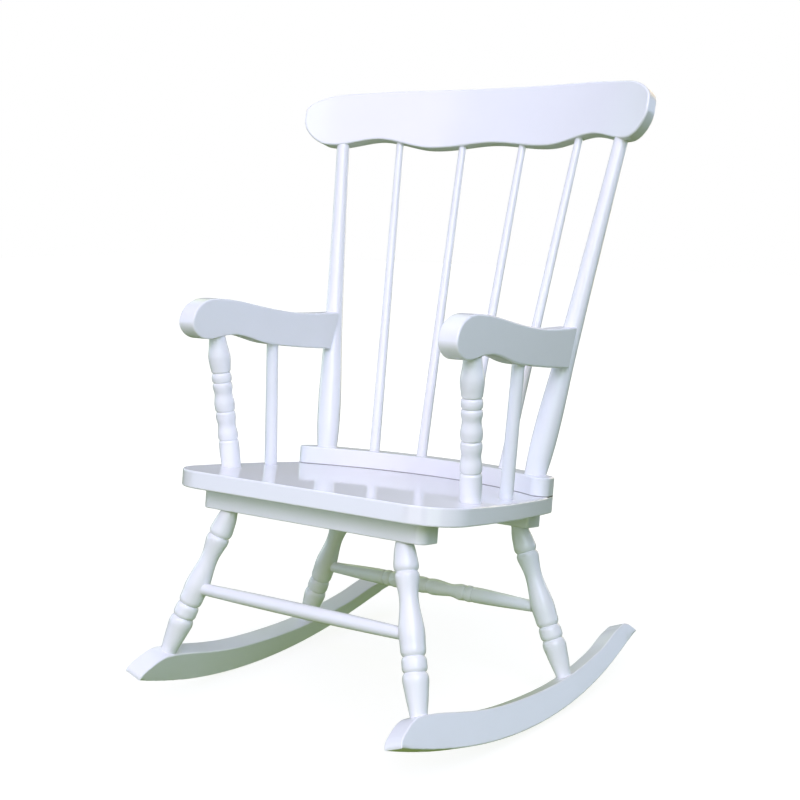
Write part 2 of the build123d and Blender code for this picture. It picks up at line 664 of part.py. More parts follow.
def chair():
    """Every piece of the chair, by node name, as lists of solids."""
    seat, rail, crest = seat_blank(), rail_blank(), crest_blank()
    front_cleat = cleat_blank(FRONT_CLEAT_Y, FRONT_CLEAT_HALF_LENGTH, FRONT_CLEAT_CORNER)
    rear_cleat = cleat_blank(REAR_CLEAT_Y, REAR_CLEAT_HALF_LENGTH, REAR_CLEAT_CORNER)
    rocker = rocker_blank()
    post = back_post()
    arm = arm_blank(post)
    spindles = [back_spindle(number) for number in range(1, BACK_SPINDLES + 1)]
    support, slim = arm_post(), arm_spindle()
    front_leg = leg(FRONT_LEG_FOOT, FRONT_LEG_HEAD_X, FRONT_CLEAT_Y)
    rear_leg = leg(REAR_LEG_FOOT, REAR_LEG_HEAD_X, REAR_CLEAT_Y)
    front_bar = stretcher(front_leg, front_stretcher_outline, FRONT_STRETCHER_TENON)
    rear_bar = stretcher(rear_leg, rear_stretcher_outline, REAR_STRETCHER_TENON)

    rail_planes = [upward(*on_rail_line(angle, -SEAT_THICKNESS))
                   for angle in (-RAIL_END_SCREW_ANGLE, 0, RAIL_END_SCREW_ANGLE)]
    rail_screws, rail_holes = screw_set(rail_planes, RAIL_SCREW_LENGTH)
    underside = -SEAT_THICKNESS - CLEAT_HEIGHT
    front_planes = [upward(x, FRONT_CLEAT_Y, underside) for x in CLEAT_SCREW_X]
    rear_planes = [upward(x, REAR_CLEAT_Y, underside) for x in CLEAT_SCREW_X]
    cleat_screws, cleat_holes = screw_set(front_planes + rear_planes, CLEAT_SCREW_LENGTH)
    arm_plane = arm_seam(post).offset(ARM_SCREW_SINK - seam_diameter(post) / 2)
    arm_screws, arm_holes = screw_set([arm_plane], ARM_SCREW_LENGTH)
    arm_counterbore = cylinder_along(arm_plane, -POST_FOOT_DIAMETER, 0, SCREW_COUNTERBORE)
    rocker_planes = [Plane(origin=leg_turning.point(-ROCKER_SCREW_SETBACK), z_dir=leg_turning.axis.z_dir)
                     for leg_turning in (front_leg, rear_leg)]
    rocker_screws, rocker_holes = screw_set(rocker_planes, ROCKER_SCREW_LENGTH)
    rocker_counterbores = [cylinder_along(plane, -ROCKER_SCREW_SETBACK, 0, SCREW_COUNTERBORE)
                           for plane in rocker_planes]

    rebate = Pos(0, 0, -RAIL_REBATE) * extrude(rail_outline(RAIL_REBATE_GAP), 2 * RAIL_REBATE)
    seat_sockets = both_sides([post.foot_socket(), support.foot_socket(), slim.foot_socket()])
    rail_sockets = both_sides([post.foot_socket()]) + [spindle.foot_socket() for spindle in spindles]
    crest_sockets = both_sides([post.head_socket()]) + [spindle.head_socket() for spindle in spindles]
    pieces = {
        "seat_board": [cut(seat, [rebate, *seat_sockets, *rail_holes, *cleat_holes])],
        "back_rail": [cut(rail, rail_sockets + rail_holes)],
        "crest_rail": [cut(crest, crest_sockets)],
        "front_cleat": [cut(front_cleat, both_sides([front_leg.head_socket()]) + cleat_holes)],
        "rear_cleat": [cut(rear_cleat, both_sides([rear_leg.head_socket()]) + cleat_holes)],
        "front_stretcher": [front_bar.solid(*both_sides([front_leg.body()]))],
        "rear_stretcher": [rear_bar.solid(*both_sides([rear_leg.body()]))],
    }
    for number, spindle in enumerate(spindles, 1):
        pieces[f"back_spindle_{number}"] = [spindle.solid(rail, crest)]
    left = {
        "back_post": cut(post.solid(rail, crest), [*arm_holes, arm_counterbore]),
        "arm": cut(arm, [support.head_socket(), slim.head_socket(), *arm_holes]),
        "arm_post": support.solid(arm),
        "arm_spindle": slim.solid(arm),
        "leg_front": cut(front_leg.solid(rocker, front_cleat), [front_bar.head_socket(), rocker_holes[0]]),
        "leg_rear": cut(rear_leg.solid(rocker, rear_cleat), [rear_bar.head_socket(), rocker_holes[1]]),
        "rocker": cut(rocker, [front_leg.foot_socket(), rear_leg.foot_socket(), *rocker_holes,
                               *rocker_counterbores]),
    }
    for name, solid in left.items():
        pieces[f"{name}_left"] = [solid]
        pieces[f"{name}_right"] = [mirrored(solid)]
    pieces["rail_screws"] = rail_screws
    pieces["cleat_screws"] = cleat_screws
    pieces["arm_screws"] = both_sides(arm_screws)
    pieces["rocker_screws"] = both_sides(rocker_screws)
    return pieces


os.makedirs("parts", exist_ok=True)
for node, solids in place_at_rest(chair()).items():
    shape = solids[0] if len(solids) == 1 else Compound(solids)
    export_step(shape, f"parts/{node}.step")
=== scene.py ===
import math

import bmesh
import bpy
import numpy
from mathutils import Matrix, Vector


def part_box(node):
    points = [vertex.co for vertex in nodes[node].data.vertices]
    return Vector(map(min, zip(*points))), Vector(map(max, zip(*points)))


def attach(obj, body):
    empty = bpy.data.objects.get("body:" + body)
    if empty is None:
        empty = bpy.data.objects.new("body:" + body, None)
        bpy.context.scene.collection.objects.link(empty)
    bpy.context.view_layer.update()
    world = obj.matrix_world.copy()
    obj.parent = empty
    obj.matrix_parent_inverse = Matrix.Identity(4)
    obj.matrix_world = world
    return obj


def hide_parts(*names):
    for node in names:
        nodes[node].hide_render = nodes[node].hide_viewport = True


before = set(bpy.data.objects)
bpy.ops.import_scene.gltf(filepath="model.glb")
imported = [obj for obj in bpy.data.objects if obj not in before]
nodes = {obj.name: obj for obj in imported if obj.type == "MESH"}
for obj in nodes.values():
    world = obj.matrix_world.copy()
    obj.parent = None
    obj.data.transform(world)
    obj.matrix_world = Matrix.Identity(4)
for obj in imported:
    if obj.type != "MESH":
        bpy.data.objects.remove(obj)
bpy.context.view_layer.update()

# ---------------------------------------------------------------- seat board
# The seat is a solid board glued up from hardwood strips, with rounded corners and bowed sides. It
# is screwed to the cleats from below, and sanded flatter than the rest, so its enamel mirrors what
# stands on it.
PAINT = "F1F1F6"
THIN_PAINT = "ECECF0"
RUBBED_PAINT = "B9B7B0"
# Painted shade: the colour of the shadow in an open joint's crevice.
JOINT_SHADOW = "6E6A66"
FILM_IOR = 1.5
SEAT_ROUGHNESS = 0.05
SHEEN_SPREAD = 0.2  # of the roughness, either way
SPRAY_PASS = 90  # millimetres, as the next three lengths are
ORANGE_PEEL = 1.6
LATHE_RING = 2.4
RUBBED_HEIGHT = 5
PORE_SIZE = (0.060, 0.0018, 0.0018)  # length, width and depth, in metres
PEEL_RELIEF = {"Strength": 0.06, "Distance": 0.00006}
PORE_RELIEF = {"Strength": 0.10, "Distance": 0.00008}
RING_RELIEF = 0.00003
WAVE_PERIOD = math.pi / 10  # of a wave texture at a scale of one
ACROSS = Vector((1, 0, 0))


def srgb(code):
    """A six-figure colour code as linear light."""
    parts = [int(code[i:i + 2], 16) / 255 for i in (0, 2, 4)]
    linear = [part / 12.92 if part <= 0.04045 else ((part + 0.055) / 1.055) ** 2.4
              for part in parts]
    return (*linear, 1.0)


def add(tree, kind, settings=None, links=None, **inputs):
    """Adds a node with its settings, the links into it and its input values."""
    node = tree.nodes.new(kind)
    for name, value in (settings or {}).items():
        setattr(node, name, value)
    for name, value in inputs.items():
        node.inputs[name.replace("_", " ")].default_value = value
    for name, source in (links or {}).items():
        tree.links.new(source, node.inputs[name])
    return node


def per_metre(millimetres):
    """The texture scale that makes a pattern repeat in about this length."""
    return 1000 / millimetres


def enamel(name, roughness, grain, rings=0.0, scuffed=False, joint=None):
    """White enamel sprayed on sanded hardwood, rubbed down between two coats.

    The film is glossy and close to white, a little greyer where it lies thin. Orange peel breaks up
    its reflections, and the pores of the wood tell through it along the grain, a direction in
    space. Turned pieces keep faint rings across the grain, and the treads of the rockers are
    dulled by the floor. Along a joint (a level, a tilt and a width) a fine dark line of painted
    shade stands for the shadow in the joint's crevice.
    """
    material = bpy.data.materials.new(name)
    material.use_nodes = True
    tree = material.node_tree
    tree.nodes.clear()
    place = add(tree, "ShaderNodeTexCoord")
    turn_to_grain = ACROSS.rotation_difference(grain).to_euler()

    # Patches about as wide as a pass of the spray gun.
    patches = add(tree, "ShaderNodeTexNoise", links={"Vector": place.outputs["Object"]},
                  Scale=per_metre(SPRAY_PASS), Detail=3.0, Roughness=0.55)
    colour = add(tree, "ShaderNodeMix", {"data_type": "RGBA"}, {"Factor": patches.outputs["Fac"]})
    colour.inputs["A"].default_value = srgb(PAINT)
    colour.inputs["B"].default_value = srgb(THIN_PAINT)
    skin = colour.outputs["Result"]
    sheen = add(tree, "ShaderNodeMapRange", links={"Value": patches.outputs["Fac"]},
                To_Min=roughness * (1 - SHEEN_SPREAD),
                To_Max=roughness * (1 + SHEEN_SPREAD)).outputs["Result"]

    # Orange peel, from crest to crest.
    peel = add(tree, "ShaderNodeTexNoise", links={"Vector": place.outputs["Object"]},
               Scale=per_metre(ORANGE_PEEL), Detail=1.0, Roughness=0.4)
    bump = add(tree, "ShaderNodeBump", links={"Height": peel.outputs["Fac"]}, **PEEL_RELIEF)

    # The pores run with the grain.
    along = add(tree, "ShaderNodeMapping", {"vector_type": "TEXTURE"},
                {"Vector": place.outputs["Object"]}, Rotation=turn_to_grain, Scale=PORE_SIZE)
    pores = add(tree, "ShaderNodeTexNoise", links={"Vector": along.outputs["Vector"]},
                Scale=1.0, Detail=2.0, Roughness=0.5)
    bump = add(tree, "ShaderNodeBump", links={"Height": pores.outputs["Fac"],
                                              "Normal": bump.outputs["Normal"]}, **PORE_RELIEF)
    if rings:
        # A lathe tool leaves finer rings than these, which are as fine as shows.
        across = add(tree, "ShaderNodeMapping", {"vector_type": "TEXTURE"},
                     {"Vector": place.outputs["Object"]}, Rotation=turn_to_grain)
        turning_marks = add(tree, "ShaderNodeTexWave", {"bands_direction": "X"},
                            {"Vector": across.outputs["Vector"]},
                            Scale=per_metre(LATHE_RING) * WAVE_PERIOD, Distortion=1.5, Detail=1.0)
        bump = add(tree, "ShaderNodeBump", links={"Height": turning_marks.outputs["Fac"],
                                                  "Normal": bump.outputs["Normal"]},
                   Strength=rings, Distance=RING_RELIEF)
    if scuffed:
        # The lowest few millimetres rub on the floor.
        height = add(tree, "ShaderNodeSeparateXYZ", links={"Vector": place.outputs["Object"]})
        rubbed = add(tree, "ShaderNodeMapRange", links={"Value": height.outputs["Z"]},
                     From_Min=0.0, From_Max=RUBBED_HEIGHT / 1000, To_Min=0.8, To_Max=0.0)
        marks = add(tree, "ShaderNodeMath", {"operation": "MULTIPLY"},
                    {0: rubbed.outputs["Result"], 1: pores.outputs["Fac"]})
        worn = add(tree, "ShaderNodeMix", {"data_type": "RGBA"},
                   {"Factor": marks.outputs["Value"], "A": skin})
        worn.inputs["B"].default_value = srgb(RUBBED_PAINT)
        skin = worn.outputs["Result"]
        dulled = add(tree, "ShaderNodeMath", {"operation": "MULTIPLY_ADD", "use_clamp": True},
                     {0: marks.outputs["Value"], 2: sheen})
        dulled.inputs[1].default_value = 0.6
        sheen = dulled.outputs["Value"]
    # Painted shade: the shadow in the joint's crevice, painted as a fine dark line just above it.
    if joint:
        level, tilt, width = joint
        square_on = add(tree, "ShaderNodeMapping", {"vector_type": "TEXTURE"},
                        {"Vector": place.outputs["Object"]}, Location=level, Rotation=(tilt, 0, 0))
        above_joint = add(tree, "ShaderNodeSeparateXYZ",
                          links={"Vector": square_on.outputs["Vector"]})
        joint_shade = add(tree, "ShaderNodeMapRange", {"interpolation_type": "SMOOTHSTEP"},
                  {"Value": above_joint.outputs["Z"]},
                  From_Min=0.0, From_Max=width, To_Min=1.0, To_Max=0.0)
        shaded_joint = add(tree, "ShaderNodeMix", {"data_type": "RGBA"},
                    {"Factor": joint_shade.outputs["Result"], "A": skin})
        shaded_joint.inputs["B"].default_value = srgb(JOINT_SHADOW)
        skin = shaded_joint.outputs["Result"]

    film = add(tree, "ShaderNodeBsdfPrincipled",
               links={"Base Color": skin, "Roughness": sheen, "Normal": bump.outputs["Normal"]},
               IOR=FILM_IOR)
    add(tree, "ShaderNodeOutputMaterial", links={"Surface": film.outputs["BSDF"]})
    return material


def dress(node, material):
    """Gives the material to a CAD node whose shape is right."""
    nodes[node].data.materials.clear()
    nodes[node].data.materials.append(material)


dress("seat_board", enamel("white enamel on a flat-sanded seat board", SEAT_ROUGHNESS, ACROSS))

# ---------------------------------------------------------------- back rail
# An arc-shaped bar sawn from a thick board and screwed up through the seat. It carries posts and
# spindles. Its joint with the seat stays open, and the shadow in that crevice is painted along
# the rail's foot as a fine dark line.
BOARD_ROUGHNESS = 0.2
JOINT_SHADE_WIDTH = 0.0013
SEAT_TILT = math.radians(-6.661)
SEAT_TOP_ORIGIN = (0.0, 0.000093, 0.255404)

# The rail's foot gets a fine line of painted shade where it meets the seat.
rail_joint_shade = (SEAT_TOP_ORIGIN, SEAT_TILT, JOINT_SHADE_WIDTH)
rail_enamel = enamel("white enamel on a sawn back rail", BOARD_ROUGHNESS, ACROSS, joint=rail_joint_shade)
dress("back_rail", rail_enamel)

# ---------------------------------------------------------------- cleats
# Two bars across the underside of the seat, screwed up into it. The tops of the legs are glued
# into them.
cleat_enamel = enamel("white enamel on planed cleats", BOARD_ROUGHNESS, ACROSS)
dress("front_cleat", cleat_enamel)
dress("rear_cleat", cleat_enamel)

# ---------------------------------------------------------------- rockers
# Boards sawn to a curve, leaning with the legs, their edges rounded over. The feet of the legs are
# glued and screwed into their top edges, and their treads are dulled where they rub on the floor.
# Their tails run out straighter than the arc of the tread, and end in a round nose.
LENGTHWISE = Vector((0, 1, 0))
ROCKER_ORIGIN = Vector((185.4, 0, -212.3))  # millimetres, as the sizes below are
ROCKER_LEAN = math.radians(20.5)
ROCKER_TOE_IN = math.radians(3.8)
TREAD_RADIUS = 721.4
TREAD_MIDDLE = -52.0
TREAD_DEPTH = 45.0
TAIL_START = 165.0
TAIL_DEPTHS = ((148, 26.7), (195, 25.9), (250, 21.2))  # (place along the board, size)
TREAD_DROP = ((215, 0.0), (240, -0.5), (259, -2.1), (268, -3.1), (277, -4.4))
NOSE_TOP = ((236, 38.5), (240, 39.8), (244, 41.0), (248, 41.9), (252, 42.3), (256, 42.0),
            (260, 41.0), (264, 39.4), (268, 37.1), (272, 34.3), (275, 32.0), (277, 30.1))
TIP_DEPTH = 0.5  # the least that the nose's depth counts as
CUT_REACH = 0.7  # how far from a cut a point still counts as on it
MERGE_REACH = 1e-6  # metres, as the next one is
CUT_SNAP = 1e-7
CRISP_ANGLE = math.radians(50)


def stand_for(piece, node, material):
    """The piece takes the place of a CAD node and rides with it."""
    piece.data.materials.append(material)
    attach(piece, "root")
    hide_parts(node)


def in_world(seat_vector):
    """A direction set out with the seat level, in the chair's resting place."""
    x, y, z = seat_vector
    lean_back = -SEAT_TILT
    return Vector((x, y * math.cos(lean_back) + z * math.sin(lean_back),
                   z * math.cos(lean_back) - y * math.sin(lean_back)))


def along_stations(place, stations):
    """The size at a place, between (place, size) stations."""
    return numpy.interp(place, *zip(*stations))


def within(share):
    """The share, kept from 0 to 1."""
    return min(1.0, max(0.0, share))


def board_of(side):
    """Where a rocker's board lies: its origin, the way along it and the way up it."""
    along = in_world((side * math.sin(ROCKER_TOE_IN), math.cos(ROCKER_TOE_IN), 0))
    up = in_world((-side * math.sin(ROCKER_LEAN), 0, math.cos(ROCKER_LEAN)))
    square = side * along.cross(up).normalized()
    from_seat = in_world((side * ROCKER_ORIGIN.x, 0, ROCKER_ORIGIN.z)) / 1000
    return Vector(SEAT_TOP_ORIGIN) + from_seat, along, side * square.cross(along)


def on_board(point, origin, along, up):
    """A point's place along a board and its level up it, in millimetres."""
    return 1000 * (point - origin).dot(along), 1000 * (point - origin).dot(up)


def outlined(point, board, sawn_top):
    """How far a point of a rocker's tail moves, up or down its board, to the tail's own outline.

    The top edge and the tread move by their own amounts, and what lies between them by a share of
    each. The top edge as it was sawn is given in stations.
    """
    place, level = on_board(point, *board)
    tread = TREAD_RADIUS - math.sqrt(TREAD_RADIUS**2 - (place - TREAD_MIDDLE) ** 2) - TREAD_DEPTH
    nose_start, nose_level = NOSE_TOP[0]
    if place > nose_start:
        top = along_stations(place, sawn_top)
        depth = max(TIP_DEPTH, top - tread)
        rise = along_stations(place, NOSE_TOP) - top
    else:
        depth = along_stations(place, TAIL_DEPTHS)
        nose_rise = nose_level - along_stations(nose_start, sawn_top)
        rise = along_stations(place, ((TAIL_START, 0), (nose_start, nose_rise)))
    share = within((level - tread) / depth)
    move = share * rise + (1 - share) * along_stations(place, TREAD_DROP)
    up = board[2]
    return up * float(move) / 1000


def linked(name, content):
    """An object that holds the mesh, light or camera, put in the scene."""
    thing = bpy.data.objects.new(name, content)
    bpy.context.scene.collection.objects.link(thing)
    return thing


def finished(name, shape):
    """A smooth-shaded object from a mesh that is in place, with its sharp edges kept crisp."""
    for face in shape.faces:
        face.smooth = True
    for edge in shape.edges:
        edge.smooth = edge.calc_face_angle(0) < CRISP_ANGLE
    mesh = bpy.data.meshes.new(name)
    shape.to_mesh(mesh)
    shape.free()
    return linked(name, mesh)


def settle(piece):
    """Makes what the piece's modifiers show into its own mesh, and takes them off."""
    shown = piece.evaluated_get(bpy.context.evaluated_depsgraph_get())
    mesh = bpy.data.meshes.new_from_object(shown)
    piece.modifiers.clear()
    piece.data = mesh


rocker_enamel = enamel("white enamel on sawn rockers", BOARD_ROUGHNESS, LENGTHWISE, scuffed=True)
for side, node in ((1, "rocker_left"), (-1, "rocker_right")):
    board = board_of(side)
    origin, along, _ = board
    sawn = bmesh.new()
    sawn.from_mesh(nodes[node].data)
    bmesh.ops.remove_doubles(sawn, verts=sawn.verts, dist=MERGE_REACH)
    for place, _ in NOSE_TOP[:-1]:
        bmesh.ops.bisect_plane(sawn, geom=[*sawn.verts, *sawn.edges, *sawn.faces], dist=CUT_SNAP,
                               plane_co=origin + along * place / 1000, plane_no=along)
    spots = [on_board(vertex.co, *board) for vertex in sawn.verts]
    sawn_top = [(place, max(level for where, level in spots if abs(where - place) < CUT_REACH))
                for place, _ in NOSE_TOP]
    for vertex in sawn.verts:
        vertex.co += outlined(vertex.co, board, sawn_top)
    piece = finished(f"{node}_shaped", sawn)
    piece.modifiers.new("flat sides", "WEIGHTED_NORMAL").keep_sharp = True
    settle(piece)
    stand_for(piece, node, rocker_enamel)

# ---------------------------------------------------------------- legs
# Four legs turned on a lathe from squares of hardwood: bulb and bead at the foot, a long vase with
# a swell for the stretcher, and an egg under the cleat. They are glued into the cleats and the
# rockers.
TURNED_ROUGHNESS = 0.22
LATHE_RINGS = 0.05
UP_OR_ELSE_RIGHT = (1.0, 0.01, 100.0)


def islands_of(node):
    """The separate solids of a CAD node, each as an array of its vertices."""
    shape = bmesh.new()
    shape.from_mesh(nodes[node].data)
    bmesh.ops.remove_doubles(shape, verts=shape.verts, dist=MERGE_REACH)
    unseen = set(shape.verts)
    islands = []
    while unseen:
        frontier = [unseen.pop()]
        island = []
        while frontier:
            vertex = frontier.pop()
            island.append(vertex.co[:])
            for edge in vertex.link_edges:
                other = edge.other_vert(vertex)
                if other in unseen:
                    unseen.remove(other)
                    frontier.append(other)
        islands.append(numpy.array(island))
    shape.free()
    return sorted(islands, key=lambda island: tuple(island.mean(axis=0)))


def axis_of(points):
    """The middle, the direction and both ends' reach along it, for a long round solid."""
    middle = points.mean(axis=0)
    direction = numpy.linalg.svd(points - middle, full_matrices=False)[2][0]
    direction *= numpy.sign(direction @ UP_OR_ELSE_RIGHT)
    reach = (points - middle) @ direction
    return Vector(middle), Vector(direction), reach.min(), reach.max()


def turned_enamel(node):
    """The enamel of a turned piece, its grain and rings set along the piece's own axis."""
    direction = axis_of(islands_of(node)[0])[1]
    title = f"white enamel on lathe-turned {node.replace('_', ' ')}"
    return enamel(title, TURNED_ROUGHNESS, direction, rings=LATHE_RINGS)


for node in ("leg_front_left", "leg_front_right", "leg_rear_left", "leg_rear_right"):
    dress(node, turned_enamel(node))

# ---------------------------------------------------------------- stretchers
# Bars between the legs' swells, tenoned and glued. The front one is plain and a little fuller in
# the middle. The rear one is turned from both ends with a long taper, a bead and a vase, which meet
# at a groove.
FLOOR_UP = Vector((0, 0, 1))
STRETCHER_TENON = (0.009, 0.014)  # diameter and length
GROOVE_HALF_WIDTH = 0.0018
GROOVE_DEPTH = 0.0015
CURVE_STEP = 0.0008
SPIN_MERGE = 1e-7
ROUND_SIDES = 64
GROOVE_LIP = 18.6  # a diameter in millimetres, as are those of the (place, diameter) stations
TAPER = [(0, 13.4), (20, 14.9), (39, 16.7), (60, 18.2), (74, 18.9), (80.7, 18.9)]
BEAD = [(84.3, 18.9), (88, 20.2), (91.6, 19.2)]
VASE = [(95.2, 19.2), (101, 20.0), (107, 17.4), (114, 15.3), (127, 18.0), (140, 20.2)]


def fair(stations):
    """Points on a smooth curve through (place, diameter) stations that never swells past them."""
    places, sizes = numpy.array(stations, dtype=float).T
    slopes = numpy.diff(sizes) / numpy.diff(places)
    middle = [0.0 if before * after <= 0 else 2 * before * after / (before + after)
              for before, after in zip(slopes, slopes[1:])]
    tangents = [slopes[0], *middle, slopes[-1]]
    curve = []
    for i, run in enumerate(numpy.diff(places)):
        for t in numpy.arange(0, 1, 1 / max(2, round(run / 1000 / CURVE_STEP))):
            size = ((1 + 2 * t) * (1 - t) ** 2 * sizes[i] + t * (1 - t) ** 2 * run * tangents[i]
                    + t**2 * (3 - 2 * t) * sizes[i + 1] + t**2 * (t - 1) * run * tangents[i + 1])
            curve.append(((places[i] + t * run) / 1000, size / 1000))
    return [*curve, (places[-1] / 1000, sizes[-1] / 1000)]


def with_grooves(*stretches):
    """Smooth stretches joined by V-grooves whose bottoms lie between them."""
    outline = fair(stretches[0])
    for stretch in stretches[1:]:
        place, size = outline[-1]
        opening = stretch[0][0] / 1000
        outline.append(((place + opening) / 2, size - 2 * GROOVE_DEPTH))
        outline += fair(stretch)
    return outline


def turn_between(name, low, high, outline, tenon):
    """A closed turned mesh from one point to another, with round tenons beyond both."""
    tenon_diameter, tenon_length = tenon
    length = (high - low).length
    rings = [(-tenon_length, 0), (-tenon_length, tenon_diameter), (outline[0][0], tenon_diameter),
             *outline,
             (outline[-1][0], tenon_diameter), (length + tenon_length, tenon_diameter),
             (length + tenon_length, 0)]
    shape = bmesh.new()
    profile = [shape.verts.new((diameter / 2, 0, place)) for place, diameter in rings]
    lines = [shape.edges.new(pair) for pair in zip(profile, profile[1:])]
    bmesh.ops.spin(shape, geom=profile + lines, cent=(0, 0, 0), axis=FLOOR_UP, angle=2 * math.pi,
                   steps=ROUND_SIDES, use_merge=True)
    bmesh.ops.remove_doubles(shape, verts=shape.verts, dist=SPIN_MERGE)
    turn = FLOOR_UP.rotation_difference(high - low).to_matrix().to_4x4()
    shape.transform(Matrix.Translation(low) @ turn)
    bmesh.ops.recalc_face_normals(shape, faces=shape.faces)
    return finished(name, shape)


dress("front_stretcher", turned_enamel("front_stretcher"))
low, high = (Vector(corner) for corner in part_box("rear_stretcher"))
heart = (low + high) / 2
half = (high.x - low.x) / 2 - STRETCHER_TENON[1]
vase_to_middle = [*VASE, (1000 * (half - GROOVE_HALF_WIDTH), GROOVE_LIP)]
half_outline = with_grooves(TAPER, BEAD, vase_to_middle)
middle_groove = [(half, GROOVE_LIP / 1000 - 2 * GROOVE_DEPTH)]
other_half = [(2 * half - place, diameter) for place, diameter in half_outline[::-1]]
rear_stretcher = turn_between("rear_stretcher_turned", Vector((-half, heart.y, heart.z)),
                              Vector((half, heart.y, heart.z)),
                              half_outline + middle_groove + other_half, STRETCHER_TENON)
stand_for(rear_stretcher, "rear_stretcher", turned_enamel("rear_stretcher"))

# ---------------------------------------------------------------- back posts and back spindles
# Turned on a lathe, the posts full at the foot with a long taper, the spindles plain and slim. They
# are glued into the rail and the crest, and the posts go on through the rail into the seat.
for node in ("back_post_left", "back_post_right", "back_spindle_1", "back_spindle_2",
             "back_spindle_3", "back_spindle_4"):
    dress(node, turned_enamel(node))

# ---------------------------------------------------------------- crest rail
# A board steamed and bent to a gentle curve, then sawn to a low arch with scrolled ends and a wavy
# underside, and rounded over along its edges. Its shoulders are sawn a little lower than the CAD
# node's.
CREST_ORIGIN = Vector((0, 0.21176, 0.64196))  # metres; the shoulders' sizes are in millimetres
CREST_LEAN = math.radians(8.3)
SHOULDER_FALL = ((140, 0.0), (160, -0.8), (183, -2.4), (205, -3.6), (231, -4.8), (246, -4.8))
SHOULDER_FROM = 25.0
SHOULDER_TOP = 62.0


def sloped(point):
    """How far a point near the ends of the crest's top edge moves, down the board."""
    up = in_world((0, math.sin(CREST_LEAN), math.cos(CREST_LEAN)))
    height = 1000 * (point - CREST_ORIGIN).dot(up)
    share = within((height - SHOULDER_FROM) / (SHOULDER_TOP - SHOULDER_FROM))
    eased = share**2 * (3 - 2 * share)
    return up * float(eased * along_stations(1000 * abs(point.x), SHOULDER_FALL)) / 1000


crest = nodes["crest_rail"].data.copy()
crest.materials.clear()
for vertex in crest.vertices:
    vertex.co += sloped(vertex.co)
stand_for(linked("crest_rail_shaped", crest), "crest_rail",
          enamel("white enamel on a bent crest rail", BOARD_ROUGHNESS, ACROSS))

# ---------------------------------------------------------------- arms
# Thick boards on edge, sawn to a scroll and rounded over, each screwed from behind through its back
# post and glued on to the arm post and the arm spindle.
arm_enamel = enamel("white enamel on sawn arms", BOARD_ROUGHNESS, LENGTHWISE)
dress("arm_left", arm_enamel)
dress("arm_right", arm_enamel)

# ---------------------------------------------------------------- arm posts and arm spindles
# The posts are turned with two small vases, a bead and a long bulb, with a straight foot that
# stands in a shallow housing in the seat. The spindles behind them are plain tapers.
ARM_POST_TENON = (0.013, 0.015)  # diameter and length
POST_OVERRUN = 2.5  # millimetres, as the stations are
POST_FOOT = [(-POST_OVERRUN, 22.9), (8, 23.2), (20, 23.9), (31.2, 23.2)]
LOWER_VASE = [(34.8, 23.2), (39.5, 23.6), (51, 20.8), (61, 23.3), (65.5, 22.9)]
UPPER_VASE = [(69.1, 22.9), (76, 23.9), (89, 20.7), (97, 23.2)]
VASE_END = [(-58.5, 22.7)]  # this and the next two are placed from the post's head
POST_BEAD = [(-54.9, 22.7), (-51, 23.5), (-47, 22.5)]
POST_BULB = [(-43.4, 22.5), (-27, 25.9), (-12, 21.4), (0, 18.4), (POST_OVERRUN, 18.0)]

for side in ("left", "right"):
    node = f"arm_post_{side}"
    middle, direction, start, end = axis_of(islands_of(node)[0])
    foot = middle + direction * (start + ARM_POST_TENON[1])
    head = middle + direction * (end - ARM_POST_TENON[1])
    length = 1000 * (head - foot).length
    vase_end, bead, bulb = ([(length + place, size) for place, size in stretch]
                            for stretch in (VASE_END, POST_BEAD, POST_BULB))
    outline = with_grooves(POST_FOOT, LOWER_VASE, UPPER_VASE + vase_end, bead, bulb)
    post = turn_between(f"{node}_turned", foot, head, outline, ARM_POST_TENON)
    stand_for(post, node, turned_enamel(node))
    dress(f"arm_spindle_{side}", turned_enamel(f"arm_spindle_{side}"))

# ---------------------------------------------------------------- screws
# Countersunk wood screws of zinc-plated steel with cross recesses, driven up into the rail, the
# seat and the legs, and forward into the arms. Drawn wire gives them their thread, plating their
# pale satin shine.
PLATING = "C9CCCC"
DULL_PLATING = "A9ABA6"
PLATING_MOTTLE = 1.2  # millimetres; the lengths below are in metres
HEAD_DIAMETER = 0.008
HEAD_DEPTH = 0.0026
SHANK_DIAMETER = 0.004
CORE_DIAMETER = 0.0028
THREAD_PITCH = 0.0018
POINT_LENGTH = 0.005
RECESS_WIDTH = 0.0011
RECESS_SPAN = 0.0044
RECESS_DEPTH = 0.0016
TIP_SHARE = 0.06  # of the thread's diameter
HEAD_SIDES = 40
CORE_SIDES = 24
STEPS_A_TURN = 14
RIDGE_SIDES = 4
TWIST_SEED = 7


def zinc_plate():
    """Zinc-plated steel: a cool grey metal, satin, with the plating a little mottled."""
    material = bpy.data.materials.new("zinc-plated drawn steel screws")
    material.use_nodes = True
    tree = material.node_tree
    tree.nodes.clear()
    place = add(tree, "ShaderNodeTexCoord")
    mottle = add(tree, "ShaderNodeTexNoise", links={"Vector": place.outputs["Object"]},
                 Scale=per_metre(PLATING_MOTTLE), Detail=2.0)
    colour = add(tree, "ShaderNodeMix", {"data_type": "RGBA"}, {"Factor": mottle.outputs["Fac"]})
    colour.inputs["A"].default_value = srgb(PLATING)
    colour.inputs["B"].default_value = srgb(DULL_PLATING)
    satin = add(tree, "ShaderNodeMapRange", links={"Value": mottle.outputs["Fac"]},
                To_Min=0.28, To_Max=0.42)
    metal = add(tree, "ShaderNodeBsdfPrincipled", links={"Base Color": colour.outputs["Result"],
                                                         "Roughness": satin.outputs["Result"]},
                Metallic=1.0)
    add(tree, "ShaderNodeOutputMaterial", links={"Surface": metal.outputs["BSDF"]})
    return material


